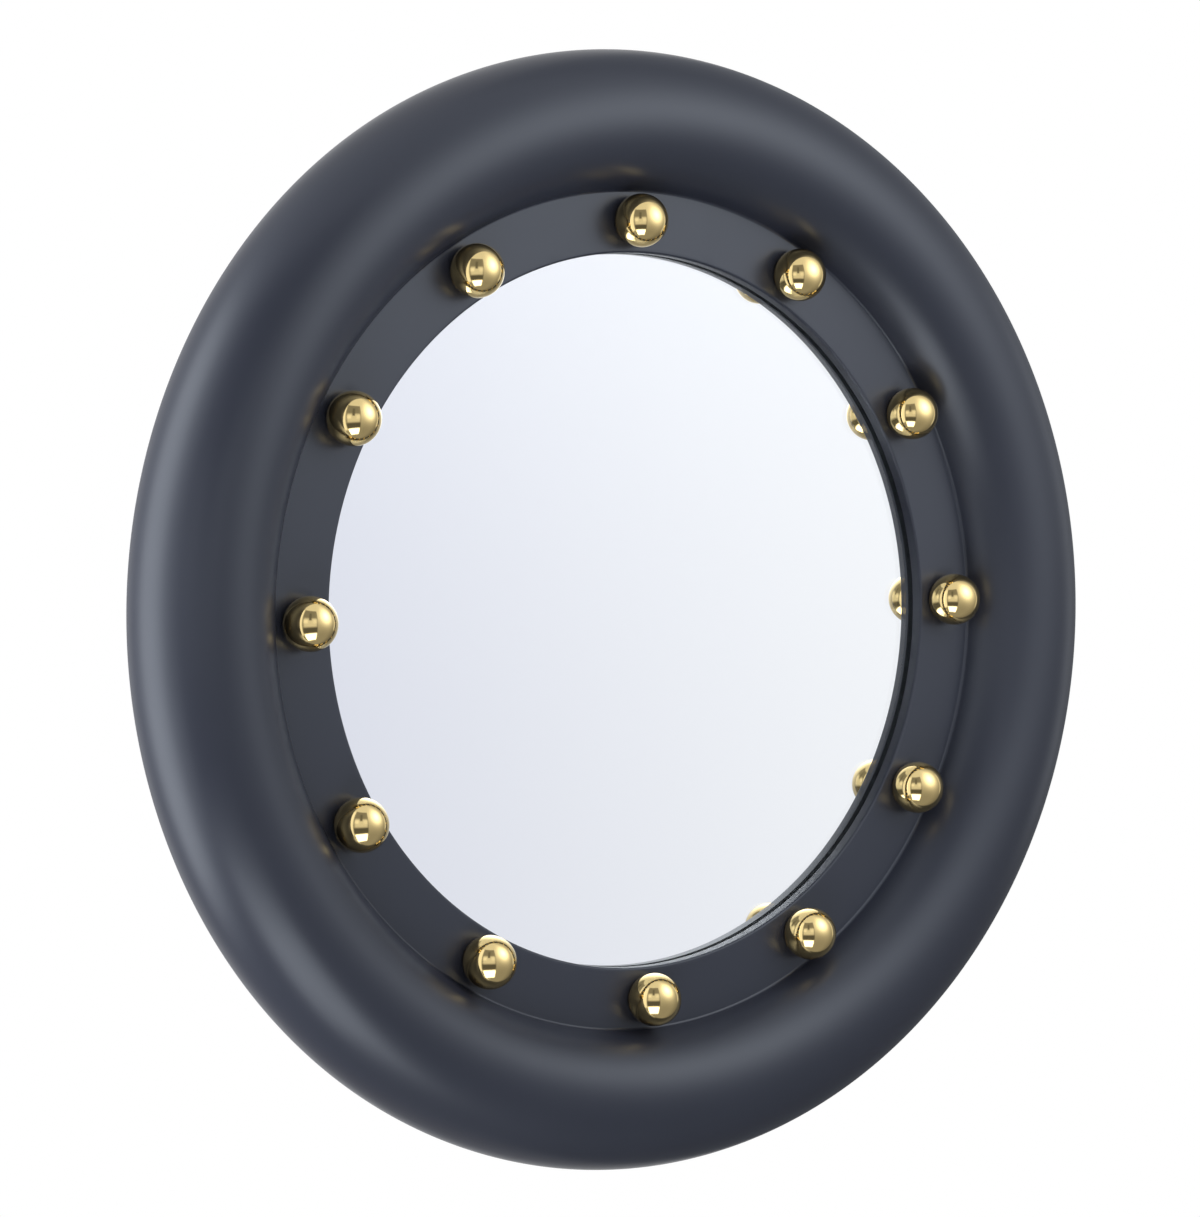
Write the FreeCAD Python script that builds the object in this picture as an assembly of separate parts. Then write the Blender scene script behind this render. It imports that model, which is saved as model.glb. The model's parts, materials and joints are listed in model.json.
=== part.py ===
import FreeCAD, Part
import math
import os

# Round wall mirror. The origin is the centre of the mirror on the wall plane, Y = 0.
# +Z is up and the mirror faces -Y. A "height" is a distance out from the wall, in millimetres.

# Ball ring, a flat board ring round the sight opening, let into the frame from behind
sight_radius = 267.0
ring_visible_width = 46.6
ring_tucked_width = 19.4
ring_thickness = 16.0
sight_edge_round = 1.8
rabbet_clearance = 0.3

# Outer frame, a turned ring with a half-round section cut flat against the wall
frame_height = 64.0
round_radius = 53.5
toe_cove_radius = 2.5
toe_edge_height = 0.4
frame_back_edge_round = 1.5

# Brass balls along the middle of the ring's face, one at each hour
ball_count = 12
ball_radius = 20.0
ball_centre_above_face = 13.0
ball_seat_depth = 1.0
ball_seat_clearance = 0.5

# Machine screw and washer behind each ball, in a counterbore
ball_screw_radius = 3.0
ball_screw_head_radius = 5.0
ball_screw_head_height = 3.6
ball_screw_socket_width = 4.0
ball_screw_socket_depth = 2.0
ball_thread_engagement = 9.4
ball_thread_runout = 4.6
ball_washer_radius = 6.2
ball_washer_thickness = 1.6
ball_counterbore_clearance = 0.8
ball_counterbore_depth = 6.0

# Mirror glass in the ring's rebate, with foam behind it
glass_thickness = 5.0
glass_edge_clearance = 0.5
glass_arris = 0.6
rebate_to_counterbore = 0.8
foam_thickness = 1.0
foam_width = 13.0
foam_edge_inset = 1.0

# Backing board and its pan head screws
board_thickness = 4.0
board_edge_clearance = 1.0
board_edge_chamfer = 0.8
board_screw_radius = 2.0
board_screw_bite = 8.0
board_screw_head_radius = 4.0
board_screw_head_height = 2.2
board_screw_wall_clearance = 1.5

# Countersunk screws from the ring into the frame's toe, between the balls
ring_screw_radius = 2.4
ring_screw_bite = 13.0
ring_screw_head_radius = 4.8
ring_screw_head_height = 2.6

# Clearances of screws: in wood they bite, through a drilled piece they pass
bite_clearance = 0.05
pass_clearance = 0.3
pilot_extra_depth = 1.0

# Heads and points of the wood screws, as shares of the head and the shank
recess_depth = 1.2
recess_width = 1.0
recess_share_of_head = 0.6
pan_crown_share = 0.72
pan_rim_share = 0.45
point_tip_share = 0.2
point_length_in_radii = 2.0

# D-rings of round wire, hanging on their straps
ring_wire_radius = 1.6
ring_pivot_clearance = 0.08
d_ring_width = 26.0
d_ring_length = 22.0
d_ring_corner_radius = 4.0
d_ring_rest_tilt = 4.0

# Hanger straps, a steel strip folded round the D-ring's bar, and their screws
strip_thickness = 1.0
strap_side_clearance = 2.0
strap_end_margin = 7.0
bow_to_screw_clearance = 5.4
hanger_screw_radius = 2.2
hanger_screw_bite = 18.0
hanger_screw_head_radius = 4.0
hanger_screw_head_height = 2.4

# Hanger pockets, routed into the frame's back on both sides
pivot_above_centre = 150.0
pocket_depth = 10.0
pocket_side_room = 7.4
pocket_hook_room = 10.4
pocket_end_room = 8.0

# Heights that follow: board, ring, glass and balls are stacked out from the wall
board_back_height = board_screw_head_height + board_screw_wall_clearance
ring_back_height = board_back_height + board_thickness
ring_face_height = ring_back_height + ring_thickness
rebate_depth = glass_thickness + foam_thickness
glass_front_height = ring_back_height + rebate_depth
ball_seat_height = ring_face_height - ball_seat_depth
ball_centre_height = ring_face_height + ball_centre_above_face
counterbore_floor_height = ring_back_height + ball_counterbore_depth
round_centre_height = frame_height - round_radius

# Radii that follow: from the sight opening outwards to the frame's outline
corner_radius = sight_radius + ring_visible_width
ball_circle_radius = (sight_radius + corner_radius) / 2
ball_counterbore_radius = ball_washer_radius + ball_counterbore_clearance
rebate_radius = ball_circle_radius - ball_counterbore_radius - rebate_to_counterbore
glass_radius = rebate_radius - glass_edge_clearance
ring_outer_radius = corner_radius + ring_tucked_width
rabbet_radius = ring_outer_radius + rabbet_clearance
ring_screw_circle_radius = (corner_radius + ring_outer_radius) / 2
board_screw_circle_radius = (ball_circle_radius + ring_screw_circle_radius) / 2
face_above_round_centre = ring_face_height - round_centre_height
round_centre_radius = corner_radius + math.sqrt(round_radius ** 2 - face_above_round_centre ** 2)
back_radius = round_centre_radius + math.sqrt(round_radius ** 2 - round_centre_height ** 2)

# Hanger sizes that follow from the D-ring, and its place in the middle of the frame's flat back
strap_width = d_ring_width - 2 * (d_ring_corner_radius + strap_side_clearance)
strap_thickness = 2 * strip_thickness
pivot_bore_radius = ring_wire_radius + ring_pivot_clearance
knuckle_radius = pivot_bore_radius + strip_thickness
first_screw_below_pivot = (knuckle_radius + d_ring_length - ring_wire_radius) / 2
second_screw_below_pivot = (
    d_ring_length + ring_wire_radius + bow_to_screw_clearance + hanger_screw_head_radius)
strap_screw_places = (first_screw_below_pivot, second_screw_below_pivot)
strap_end_below_pivot = second_screw_below_pivot + strap_end_margin
pocket_width = d_ring_width + 2 * (ring_wire_radius + pocket_side_room)
pocket_above_pivot = d_ring_length + ring_wire_radius + pocket_hook_room
pocket_below_pivot = strap_end_below_pivot + pocket_end_room
back_middle_radius = (rabbet_radius + back_radius) / 2
pivot_off_centre = math.sqrt(back_middle_radius ** 2 - pivot_above_centre ** 2)

# Directions and the step from hour to hour
centre = FreeCAD.Vector(0, 0, 0)
mirror_axis = FreeCAD.Vector(0, 1, 0)
forward = FreeCAD.Vector(0, -1, 0)
hour_angle = 360.0 / ball_count


def out_from_wall(radius, height):
    """A point of a turned section, in the half plane above the mirror's axis."""
    return FreeCAD.Vector(0, -height, radius)


def line(start, end):
    return Part.LineSegment(start, end).toShape()


def arc(start, middle, end):
    return Part.Arc(start, middle, end).toShape()


def turned(edges):
    """The solid that a closed section makes when it is turned about the mirror's axis."""
    return Part.Face(Part.Wire(edges)).revolve(centre, mirror_axis, 360)


def outline(points):
    """Straight edges that join the points and close the loop."""
    return [line(a, b) for a, b in zip(points, points[1:] + points[:1])]


def disc(radius, height, thickness, chamfer):
    """A flat disc from the given height back towards the wall, with both rims chamfered."""
    back = height - thickness
    points = [
        out_from_wall(0, height),
        out_from_wall(radius - chamfer, height),
        out_from_wall(radius, height - chamfer),
        out_from_wall(radius, back + chamfer),
        out_from_wall(radius - chamfer, back),
        out_from_wall(0, back),
    ]
    return turned(outline(points))


def rod(radius, back, front, at_radius):
    """A round rod along the mirror's axis, at twelve o'clock on a circle."""
    return Part.makeCylinder(radius, front - back, out_from_wall(at_radius, back), forward)


def cone(back_radius, front_radius, back, front, at_radius):
    base = out_from_wall(at_radius, back)
    return Part.makeCone(back_radius, front_radius, front - back, base, forward)


def at_angle(shape, angle):
    """The shape turned clockwise about the mirror's axis, seen from the front."""
    return shape.rotated(centre, mirror_axis, angle)


def round_the_clock(shape, start):
    """Copies of a shape at every hour, from a start angle."""
    return [at_angle(shape, start + hour * hour_angle) for hour in range(ball_count)]


def cross_recess(head_radius, back, at_radius):
    """The tool that cuts a cross drive into a screw head whose top lies at the back."""
    arm = 2 * recess_share_of_head * head_radius
    bars = []
    for size_x, size_z in ((arm, recess_width), (recess_width, arm)):
        corner = out_from_wall(at_radius - size_z / 2, back + recess_depth)
        bars.append(Part.makeBox(size_x, recess_depth, size_z, corner - FreeCAD.Vector(size_x / 2, 0, 0)))
    return bars[0].fuse(bars[1])


def pointed_shank(radius, start, tip, at_radius):
    """A round shank from its start to a tapered point at its tip."""
    taper_start = tip - point_length_in_radii * radius
    taper = cone(radius, radius * point_tip_share, taper_start, tip, at_radius)
    return rod(radius, start, taper_start, at_radius).fuse(taper)


def pan_screw(shank_radius, length, head_radius, head_height, seat_height, at_radius):
    """A wood screw with a domed head behind its seat and a pointed shank in front of it."""
    top = seat_height - head_height
    rim = seat_height - head_height * pan_rim_share
    crown = cone(head_radius * pan_crown_share, head_radius, top, rim, at_radius)
    head = crown.fuse(rod(head_radius, rim, seat_height, at_radius))
    shank = pointed_shank(shank_radius, seat_height, seat_height + length, at_radius)
    screw = head.fuse(shank).removeSplitter()
    return screw.cut(cross_recess(head_radius, top, at_radius))


def countersunk_screw(shank_radius, length, head_radius, head_height, seat_height, at_radius):
    """A wood screw whose conical head ends flush with the surface at its back."""
    neck = seat_height + head_height
    head = cone(head_radius, shank_radius, seat_height, neck, at_radius)
    shank = pointed_shank(shank_radius, neck, seat_height + length, at_radius)
    screw = head.fuse(shank).removeSplitter()
    return screw.cut(cross_recess(head_radius, seat_height, at_radius))


def make_outer_frame():
    """The half-round ring: cove at the toe, round front, flat back, rabbet and hanger pockets."""
    cove_height = ring_face_height + toe_cove_radius
    reach = round_radius + toe_cove_radius
    rise = cove_height - round_centre_height
    cove_radius = round_centre_radius - math.sqrt(reach ** 2 - rise ** 2)
    share = round_radius / reach
    meet_radius = round_centre_radius + (cove_radius - round_centre_radius) * share
    meet_height = round_centre_height + rise * share
    drop = toe_cove_radius - toe_edge_height
    toe_radius = cove_radius + math.sqrt(toe_cove_radius ** 2 - drop ** 2)
    toe_angle = math.atan2(-drop, toe_radius - cove_radius)
    meet_angle = math.atan2(meet_height - cove_height, meet_radius - cove_radius)
    middle_angle = (toe_angle + meet_angle) / 2
    cove_middle = out_from_wall(
        cove_radius + toe_cove_radius * math.cos(middle_angle),
        cove_height + toe_cove_radius * math.sin(middle_angle),
    )
    toe_foot = out_from_wall(toe_radius, ring_face_height)
    toe_top = out_from_wall(toe_radius, ring_face_height + toe_edge_height)
    meet = out_from_wall(meet_radius, meet_height)
    crest = out_from_wall(round_centre_radius, frame_height)
    back_outer = out_from_wall(back_radius, 0)
    back_inner = out_from_wall(rabbet_radius, 0)
    rabbet_corner = out_from_wall(rabbet_radius, ring_face_height)
    frame = turned([
        line(toe_foot, toe_top),
        arc(toe_top, cove_middle, meet),
        arc(meet, crest, back_outer),
        line(back_outer, back_inner),
        line(back_inner, rabbet_corner),
        line(rabbet_corner, toe_foot),
    ])
    back_edges = [
        edge for edge in frame.Edges
        if edge.BoundBox.YMin > -FreeCAD.Base.Precision.confusion() and edge.Length > math.pi * rabbet_radius
    ]
    frame = frame.makeFillet(frame_back_edge_round, back_edges)
    cuts = [hanger_pocket(side) for side in (-1, 1)]
    for side in (-1, 1):
        cuts += hanger_pilot_holes(side)
    pilot_front = ring_face_height + ring_screw_bite + pilot_extra_depth
    pilot = rod(ring_screw_radius + bite_clearance, ring_face_height, pilot_front, ring_screw_circle_radius)
    cuts += round_the_clock(pilot, hour_angle / 2)
    return frame.cut(cuts)


def make_ball_ring():
    """The flat ring: rounded sight edge, rebate for the glass, ball seats and screw holes."""
    bend = sight_edge_round * (1 - math.sqrt(0.5))
    face_inner = out_from_wall(sight_radius + sight_edge_round, ring_face_height)
    edge_middle = out_from_wall(sight_radius + bend, ring_face_height - bend)
    wall_top = out_from_wall(sight_radius, ring_face_height - sight_edge_round)
    wall_foot = out_from_wall(sight_radius, glass_front_height)
    rebate_floor = out_from_wall(rebate_radius, glass_front_height)
    rebate_mouth = out_from_wall(rebate_radius, ring_back_height)
    back_outer = out_from_wall(ring_outer_radius, ring_back_height)
    face_outer = out_from_wall(ring_outer_radius, ring_face_height)
    ring = turned([
        line(face_outer, face_inner),
        arc(face_inner, edge_middle, wall_top),
        line(wall_top, wall_foot),
        line(wall_foot, rebate_floor),
        line(rebate_floor, rebate_mouth),
        line(rebate_mouth, back_outer),
        line(back_outer, face_outer),
    ])
    foot_radius = math.sqrt(ball_radius ** 2 - ball_centre_above_face ** 2)
    seat = rod(foot_radius + ball_seat_clearance, ball_seat_height, ring_face_height, ball_circle_radius)
    passage = rod(
        ball_screw_radius + pass_clearance, ring_back_height, ring_face_height, ball_circle_radius)
    counterbore = rod(
        ball_counterbore_radius, ring_back_height, counterbore_floor_height, ball_circle_radius)
    ball_fixing = seat.multiFuse([passage, counterbore])
    ring_hole = rod(
        ring_screw_radius + pass_clearance, ring_back_height, ring_face_height, ring_screw_circle_radius)
    countersink = cone(
        ring_screw_head_radius + bite_clearance, ring_screw_radius + bite_clearance,
        ring_back_height, ring_back_height + ring_screw_head_height, ring_screw_circle_radius)
    ring_fixing = ring_hole.fuse(countersink)
    board_pilot_end = ring_back_height + board_screw_bite + pilot_extra_depth
    board_pilot = rod(
        board_screw_radius + bite_clearance, ring_back_height, board_pilot_end, board_screw_circle_radius)
    cuts = round_the_clock(ball_fixing, 0)
    cuts += round_the_clock(ring_fixing, hour_angle / 2)
    cuts += round_the_clock(board_pilot, hour_angle / 2)
    return ring.cut(cuts)


def make_brass_ball():
    """One ball at twelve o'clock: a sphere with a turned flat foot and a threaded blind hole."""
    middle = out_from_wall(ball_circle_radius, ball_centre_height)
    sphere = Part.makeSphere(ball_radius, middle, forward)
    ball_back = ball_centre_height - ball_radius
    below_foot = rod(ball_radius, ball_back, ball_seat_height, ball_circle_radius)
    hole_end = ball_seat_height + ball_thread_engagement + ball_thread_runout
    hole = rod(ball_screw_radius + bite_clearance, ball_seat_height, hole_end, ball_circle_radius)
    return sphere.cut([below_foot, hole])


def make_ball_washer():
    back = counterbore_floor_height - ball_washer_thickness
    washer = rod(ball_washer_radius, back, counterbore_floor_height, ball_circle_radius)
    hole = rod(ball_screw_radius + pass_clearance, back, counterbore_floor_height, ball_circle_radius)
    return washer.cut(hole)


def make_ball_screw():
    """A socket head machine screw whose head sits on the washer, inside the ring's counterbore."""
    head_front = counterbore_floor_height - ball_washer_thickness
    head_back = head_front - ball_screw_head_height
    head = rod(ball_screw_head_radius, head_back, head_front, ball_circle_radius)
    shank_end = ball_seat_height + ball_thread_engagement
    shank = rod(ball_screw_radius, head_front, shank_end, ball_circle_radius)
    socket_corner_radius = ball_screw_socket_width / math.sqrt(3)
    corners = []
    for step in range(6):
        turn = math.radians(60 * step)
        direction = FreeCAD.Vector(math.cos(turn), 0, math.sin(turn))
        corners.append(out_from_wall(ball_circle_radius, head_back) + direction * socket_corner_radius)
    socket = Part.Face(Part.Wire(outline(corners))).extrude(forward * ball_screw_socket_depth)
    return head.fuse(shank).removeSplitter().cut(socket)


def make_glass_foam_ring():
    outer = glass_radius - foam_edge_inset
    foam_front = ring_back_height + foam_thickness
    inner = outer - foam_width
    points = [
        out_from_wall(inner, ring_back_height),
        out_from_wall(outer, ring_back_height),
        out_from_wall(outer, foam_front),
        out_from_wall(inner, foam_front),
    ]
    return turned(outline(points))


def make_backing_board():
    radius = ring_outer_radius - board_edge_clearance
    board = disc(radius, ring_back_height, board_thickness, board_edge_chamfer)
    hole = rod(
        board_screw_radius + pass_clearance, board_back_height, ring_back_height, board_screw_circle_radius)
    return board.cut(round_the_clock(hole, hour_angle / 2))


def at_pivot(side, below, height):
    """A point beside a hanger's pivot: below it along the strap and out from the pocket floor."""
    return FreeCAD.Vector(
        side * pivot_off_centre, height - pocket_depth, pivot_above_centre - below)


def hanger_pocket(side):
    """The upright pocket with round ends that one hanger lies in."""
    half = FreeCAD.Vector(pocket_width / 2, 0, 0)
    end = FreeCAD.Vector(0, 0, pocket_width / 2)
    top = at_pivot(side, pocket_width / 2 - pocket_above_pivot, 0)
    bottom = at_pivot(side, pocket_below_pivot - pocket_width / 2, 0)
    edges = [
        line(bottom + half, top + half),
        arc(top + half, top + end, top - half),
        line(top - half, bottom - half),
        arc(bottom - half, bottom - end, bottom + half),
    ]
    return Part.Face(Part.Wire(edges)).extrude(mirror_axis * pocket_depth)


def hanger_pilot_holes(side):
    depth = hanger_screw_bite + pilot_extra_depth
    radius = hanger_screw_radius + bite_clearance
    return [
        Part.makeCylinder(radius, depth, at_pivot(side, below, 0), forward)
        for below in strap_screw_places
    ]


def make_hanger_strap(side):
    """A strip folded round the D-ring's bar, both layers flat on the pocket floor below it."""
    half = FreeCAD.Vector(strap_width / 2, 0, 0)
    top = at_pivot(side, 0, 0)
    shoulder = at_pivot(side, strap_end_below_pivot - strap_width / 2, 0)
    tongue = at_pivot(side, strap_end_below_pivot, 0)
    leg = Part.Face(Part.Wire([
        line(top - half, shoulder - half),
        arc(shoulder - half, tongue, shoulder + half),
        line(shoulder + half, top + half),
        line(top + half, top - half),
    ])).extrude(mirror_axis * strap_thickness)
    across = FreeCAD.Vector(1, 0, 0)
    pivot_end = at_pivot(side, 0, knuckle_radius) - half
    knuckle = Part.makeCylinder(knuckle_radius, strap_width, pivot_end, across)
    bore = Part.makeCylinder(pivot_bore_radius, strap_width, pivot_end, across)
    holes = [
        Part.makeCylinder(
            hanger_screw_radius + pass_clearance, strap_thickness, at_pivot(side, below, 0), mirror_axis)
        for below in strap_screw_places
    ]
    return leg.fuse(knuckle).removeSplitter().cut([bore] + holes)


def make_hanger_screws(side):
    """The pan head screws of one strap, through its holes into the pocket floor."""
    seat_height = pocket_depth - strap_thickness
    length = strap_thickness + hanger_screw_bite
    screw = pan_screw(
        hanger_screw_radius, length, hanger_screw_head_radius, hanger_screw_head_height, seat_height, 0)
    across = side * pivot_off_centre
    return [
        screw.translated(FreeCAD.Vector(across, 0, pivot_above_centre - below))
        for below in strap_screw_places
    ]


def make_d_ring(side):
    """Round wire bent to a D, its bar in the strap's knuckle, its bow hanging over the strap."""
    half = d_ring_width / 2
    corner = d_ring_corner_radius
    bow_centre_below = d_ring_length - half
    pivot = at_pivot(side, 0, knuckle_radius)
    across = FreeCAD.Vector(1, 0, 0)
    down = FreeCAD.Vector(0, 0, -1)
    bar_half = half - corner

    def wire_face(place, direction):
        return Part.Face(Part.Wire(Part.makeCircle(ring_wire_radius, place, direction)))

    bar_start = pivot - across * bar_half
    pieces = [wire_face(bar_start, across).extrude(across * 2 * bar_half)]
    for hand in (-1, 1):
        bar_end = pivot + across * hand * bar_half
        corner_centre = bar_end + down * corner
        turn = FreeCAD.Vector(0, hand, 0)
        pieces.append(wire_face(bar_end, across).revolve(corner_centre, turn, 90))
        side_top = pivot + across * hand * half + down * corner
        pieces.append(wire_face(side_top, down).extrude(down * (bow_centre_below - corner)))
    bow_start = pivot + across * half + down * bow_centre_below
    bow_centre = pivot + down * bow_centre_below
    pieces.append(wire_face(bow_start, down).revolve(bow_centre, mirror_axis, 180))
    ring = pieces[0].multiFuse(pieces[1:]).removeSplitter()
    return ring.rotated(pivot, across, d_ring_rest_tilt)


def save(name, shape):
    """One node: a single solid, or a group of separate solids."""
    solids = shape if isinstance(shape, list) else [shape]
    singles = [solid for group in solids for solid in group.Solids]
    node = singles[0] if len(singles) == 1 else Part.makeCompound(singles)
    node.exportStep("parts/" + name + ".step")


os.makedirs("parts", exist_ok=True)
save("outer_frame", make_outer_frame())
save("ball_ring", make_ball_ring())
ball = make_brass_ball()
for hour in range(1, ball_count + 1):
    save("brass_ball_%02d" % hour, at_angle(ball, hour * hour_angle))
save("ball_washers", round_the_clock(make_ball_washer(), 0))
save("ball_screws", round_the_clock(make_ball_screw(), 0))
save("ring_screws", round_the_clock(countersunk_screw(
    ring_screw_radius, ring_thickness + ring_screw_bite, ring_screw_head_radius, ring_screw_head_height,
    ring_back_height, ring_screw_circle_radius), hour_angle / 2))
save("mirror_glass", disc(glass_radius, glass_front_height, glass_thickness, glass_arris))
save("glass_foam_ring", make_glass_foam_ring())
save("backing_board", make_backing_board())
save("board_screws", round_the_clock(pan_screw(
    board_screw_radius, board_thickness + board_screw_bite, board_screw_head_radius,
    board_screw_head_height, board_back_height, board_screw_circle_radius), hour_angle / 2))
save("hanger_screws", make_hanger_screws(-1) + make_hanger_screws(1))
for side, name in ((-1, "left"), (1, "right")):
    save("hanger_strap_" + name, make_hanger_strap(side))
    save("d_ring_" + name, make_d_ring(side))
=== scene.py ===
import json
import math
from collections import namedtuple

import bmesh
import bpy
import numpy as np
from mathutils import Matrix, Vector


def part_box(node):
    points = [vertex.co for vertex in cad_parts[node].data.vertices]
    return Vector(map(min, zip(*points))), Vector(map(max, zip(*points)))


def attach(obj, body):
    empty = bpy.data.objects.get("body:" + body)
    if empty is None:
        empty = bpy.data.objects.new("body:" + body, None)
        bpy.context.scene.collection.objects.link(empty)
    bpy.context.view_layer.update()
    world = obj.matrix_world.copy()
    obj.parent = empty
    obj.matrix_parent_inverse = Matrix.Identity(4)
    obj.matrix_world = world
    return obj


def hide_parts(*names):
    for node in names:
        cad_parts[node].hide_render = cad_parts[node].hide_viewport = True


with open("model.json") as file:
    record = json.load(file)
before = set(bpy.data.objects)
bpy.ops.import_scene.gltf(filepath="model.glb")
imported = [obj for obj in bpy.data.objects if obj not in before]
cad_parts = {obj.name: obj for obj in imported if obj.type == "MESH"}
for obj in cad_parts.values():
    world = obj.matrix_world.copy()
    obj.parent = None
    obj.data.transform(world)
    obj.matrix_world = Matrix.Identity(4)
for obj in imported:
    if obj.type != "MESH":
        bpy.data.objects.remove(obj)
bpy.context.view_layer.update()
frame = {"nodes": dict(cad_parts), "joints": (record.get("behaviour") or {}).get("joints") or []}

# Round wall mirror, in metres. The mirror's axis is Y, it faces -Y and the wall is the plane Y = 0.
# A "height" is a distance out from the wall, and an hour's angle runs clockwise from twelve o'clock.
MM = 0.001
to_right = np.array([1.0, 0.0, 0.0])
into_wall = np.array([0.0, 1.0, 0.0])
upwards = np.array([0.0, 0.0, 1.0])

# Sizes that the frame gives
frame_low, frame_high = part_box("outer_frame")
ring_low, ring_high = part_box("ball_ring")
glass_low, glass_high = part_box("mirror_glass")
_, board_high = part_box("backing_board")
top_ball_low, top_ball_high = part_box("brass_ball_12")
strap_low, strap_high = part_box("hanger_strap_right")
frame_height = -frame_low.y
outer_radius = frame_high.x
ring_face_height = -ring_low.y
ring_back_height = -ring_high.y
ring_outer_radius = ring_high.x
glass_front_height = -glass_low.y
glass_back_height = -glass_high.y
glass_radius = glass_high.x
board_back_height = -board_high.y
ball_radius = (top_ball_high.x - top_ball_low.x) / 2
ball_circle_radius = (top_ball_high.z + top_ball_low.z) / 2
ball_centre_height = -top_ball_low.y - ball_radius
ball_foot_height = -top_ball_high.y
strap_half_width = (strap_high.x - strap_low.x) / 2
pocket_depth = -strap_low.y
pivots = {joint["child"]: Vector(joint["pos_m"]) for joint in frame["joints"]}

# Outer frame's section
round_radius = 53.5 * MM
toe_cove_radius = 2.5 * MM
toe_edge_height = 0.05 * MM
frame_back_edge_round = 1.5 * MM
rabbet_clearance = 0.3 * MM

# Ball ring's section and the seats of the balls
sight_radius = 267 * MM
sight_edge_round = 1.8 * MM
rebate_clearance = 0.5 * MM
rebate_above_glass = 0.05 * MM
ball_seat_clearance = 0.5 * MM
seat_edge_round = 0.25 * MM

# Hanger pockets in the frame's back, straps, D-rings and screws
pocket_half_width = 22 * MM
pocket_above_pivot = 34 * MM
pocket_below_pivot = 48 * MM
pocket_edge_round = 0.6 * MM
strip_thickness = 1.0 * MM
strip_edge_round = 0.2 * MM
fold_gap = 0.03 * MM
fold_fillet_radius = 1.0 * MM
strap_end_below_pivot = 40 * MM
ring_wire_radius = 1.6 * MM
d_ring_half_width = 13 * MM
d_ring_length = 22 * MM
d_ring_corner_radius = 4 * MM
d_ring_rest_tilt = math.radians(4)
hanger_screws_below_pivot = (11.54 * MM, 33 * MM)
board_screw_circle_radius = 306.8 * MM

ScrewSize = namedtuple("ScrewSize", "head_radius head_height shank_radius length")
board_screw = ScrewSize(4 * MM, 2.2 * MM, 2 * MM, 12 * MM)
hanger_screw = ScrewSize(4 * MM, 2.4 * MM, 2.2 * MM, 20 * MM)

# A pan head's dome and its cross, as shares of the head's radius and height, and the screw's point
dome_flatness = 3.2
dome_fullness = 2.2
cross_arm_share = 0.58
cross_half_width_share = 0.13
cross_slope_share = 0.07
cross_depth_share = 0.5
point_length_in_shanks = 2
point_end_share = 0.2

# Silvering on the back of the glass
silvering_inset = 0.02 * MM
silvering_thickness = 0.012 * MM
silvering_margin = 1.5 * MM

# How finely the shapes are divided
hours = 12
columns_per_hour = 40
columns_round = hours * columns_per_hour
column_angle = 2 * math.pi / columns_round
pocket_middle_column = columns_round * 3 // 16
pocket_half_columns = columns_per_hour * 3 // 10
flat_back_rows = 8
cove_steps = 8
big_round_steps = 84
back_edge_steps = 6
inside_edge_steps = 5
sight_edge_steps = 8
seat_sector_steps = 10
lip_steps = 3
ball_rows = 64
ball_columns = 96
film_columns = 192
wire_columns = 20
d_corner_steps = 8
d_bow_steps = 36
strap_end_steps = 12
strap_leg_steps = 8
strap_turn_steps = 22
strap_fillet_steps = 6
dome_points = 30
screw_columns = 64
tent_grid = (61, 91)
floor_grid = (12, 96)
weld_distance = 0.002 * MM
smooth_limit = 32
screw_smooth_limit = 40
nearly_nothing = 1e-9

# Camera, from the ball centres and outlines in the photograph
camera_place = Vector((-1.8612, -2.7476, 0.1032))
camera_yaw = math.radians(33.846)
camera_pitch = math.radians(-1.755)
camera_roll = math.radians(-0.978)
image_height = 1217
focal_length_in_pixels = 4417.4
sensor_size = 36

# Light: a tent in front of the mirror and a white backdrop round it. Azimuths and elevations are in degrees.
# Each panel of the tent has a level, a middle, half sizes and a soft edge, and they are laid on in turn.
# Levels are times the light's colour, a loss is the share of the light that goes, and the backdrop's low
# elevations count downwards.
light_colour = (0.965, 1.0, 1.035)
mirror_dim_azimuths = (25, 43)
mirror_dim_tone = (0.67, 0.68, 0.775)
backdrop_low_loss = 0.65
backdrop_low_elevations = (15, 50)
backdrop_high_loss = 0.3
backdrop_high_elevations = (15, 45)
tent_radius = 1.6
tent_azimuths = (-140, 135)
tent_low_level = 0.33
tent_high_level = 0.84
tent_rise_elevations = (-45, 50)
tent_side_loss = 0.5
tent_side_azimuths = (40, 95)
one_reflection = 1.5
glow_level = 2.3
glow_middle = (34, 26)
glow_spread = (17.5, 16.5)
tent_panels = (
    (0.78, (86, 2), (9, 20), 5),
    (1.2, (-83, 5), (15, 42), 5),
    (4.2, (-103, 2), (16, 42), 7),
    (0.26, (-39, 10), (28.5, 40), 2.5),
    (0.11, (-39, -21), (27, 9), 3),
    (0.8, (-38.5, 6), (24, 15), 5),
    (1.1, (-55, 10), (7, 6), 4),
    (0.97, (-22, 10), (7, 7), 5),
    (0.16, (-39, 27), (5, 13), 3),
    (3.8, (-39, -47.5), (25, 13.5), 3),
)
floor_radius = 1.15
floor_below_centre = 1.0
floor_fade_shares = (0.1, 0.97)

Patch = namedtuple("Patch", "points closed finish")


def patch(points, closed=True, finish=0):
    """A grid of points, rows by columns, whose last column meets the first if it is closed."""
    return Patch(np.asarray(points, float), closed, finish)


def on_axis(radius, height, angle):
    """Points on circles about the mirror's axis: radius and height by rows, angle by columns."""
    radius, height, angle = np.broadcast_arrays(radius, height, angle)
    return np.stack([radius * np.sin(angle), -height, radius * np.cos(angle)], axis=-1)


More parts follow.
